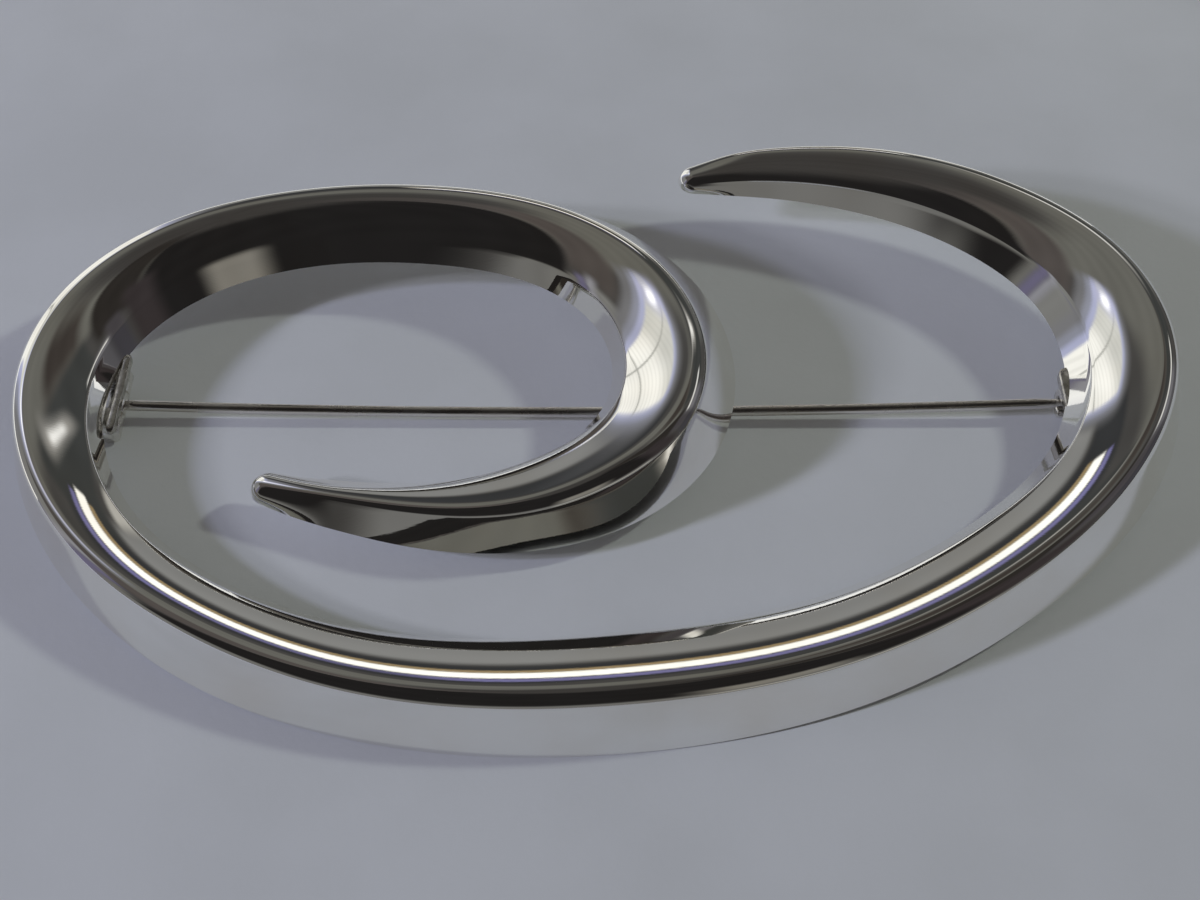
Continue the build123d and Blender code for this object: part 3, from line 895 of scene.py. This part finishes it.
# %% Make the dome
a, e = np.radians(azimuth), np.radians(elevation)
places = DOME_RADIUS * np.stack([np.sin(a) * np.cos(e), np.cos(a) * np.cos(e), np.sin(e)], axis=-1)
rows, columns = azimuth.shape
faces = []
here = np.arange(columns)
after = (here + 1) % columns
for r in range(rows - 1):
    b, t = r * columns, (r + 1) * columns
    faces += np.stack([b + here, b + after, t + after, t + here], axis=1).tolist()
faces.append(((rows - 1) * columns + here).tolist())
dome_mesh = bpy.data.meshes.new("room_dome")
dome_mesh.from_pydata(places.reshape(-1, 3).tolist(), [], faces)
paint = dome_mesh.attributes.new("room_colour", "FLOAT_COLOR", "POINT")
colours = np.concatenate([room, np.ones((rows, columns, 1))], axis=-1)
paint.data.foreach_set("color", colours.astype(np.float32).ravel())
room_dome = bpy.data.objects.new("room_dome", dome_mesh)
bpy.context.scene.collection.objects.link(room_dome)
room_dome.visible_camera = False
room_dome.visible_diffuse = False
room_dome.visible_shadow = False

# %% Paint of the dome and the plain world
painted = bpy.data.materials.new("painted_room")
painted.use_nodes = True
nodes, links = painted.node_tree.nodes, painted.node_tree.links
nodes.remove(nodes["Principled BSDF"])
glow = nodes.new("ShaderNodeEmission")
point_colour = nodes.new("ShaderNodeAttribute")
point_colour.attribute_name = "room_colour"
links.new(point_colour.outputs["Color"], glow.inputs["Color"])
links.new(glow.outputs["Emission"], nodes["Material Output"].inputs["Surface"])
painted.cycles.emission_sampling = "NONE"
dome_mesh.materials.append(painted)

world = bpy.data.worlds.new("dim_room")
bpy.context.scene.world = world
world.use_nodes = True
world.node_tree.nodes["Background"].inputs["Color"].default_value = (0.138, 0.137, 0.138, 1)
bpy.context.scene.view_settings.view_transform = "Standard"
print("dome faces", len(faces))

# %% [markdown]
# The camera looks down at the brooch from the front, close and at a steep angle, which the spiral's outline
# gives. It is placed as seen from the brooch's flat back and then tilted with it. Everything is sharp.

# %% Camera
CAMERA_DISTANCE = 102.75 * MM
CAMERA_ANGLE = 56.0         # degrees above the brooch's back
AIM_FRONT = 2.8 * MM        # how far in front of the middle of the back it aims
LENS_SHARE = 1.25           # focal length over the width of the picture
SENSOR = 36.0               # millimetres

angle = math.radians(CAMERA_ANGLE)
away = Vector((0, -math.cos(angle), math.sin(angle)))
aim = Vector((0, -AIM_FRONT, 0))
camera_data = bpy.data.cameras.new("camera")
camera_data.sensor_width = SENSOR
camera_data.lens = SENSOR * LENS_SHARE
camera_data.clip_start = 1 * MM
camera = bpy.data.objects.new("camera", camera_data)
bpy.context.scene.collection.objects.link(camera)
camera.location = lying @ (aim + away * CAMERA_DISTANCE)
camera.rotation_euler = (lying.to_3x3() @ away).to_track_quat("Z", "Y").to_euler()
bpy.context.scene.camera = camera
print("camera above the floor, degrees", round(CAMERA_ANGLE - math.degrees(tilt), 1))
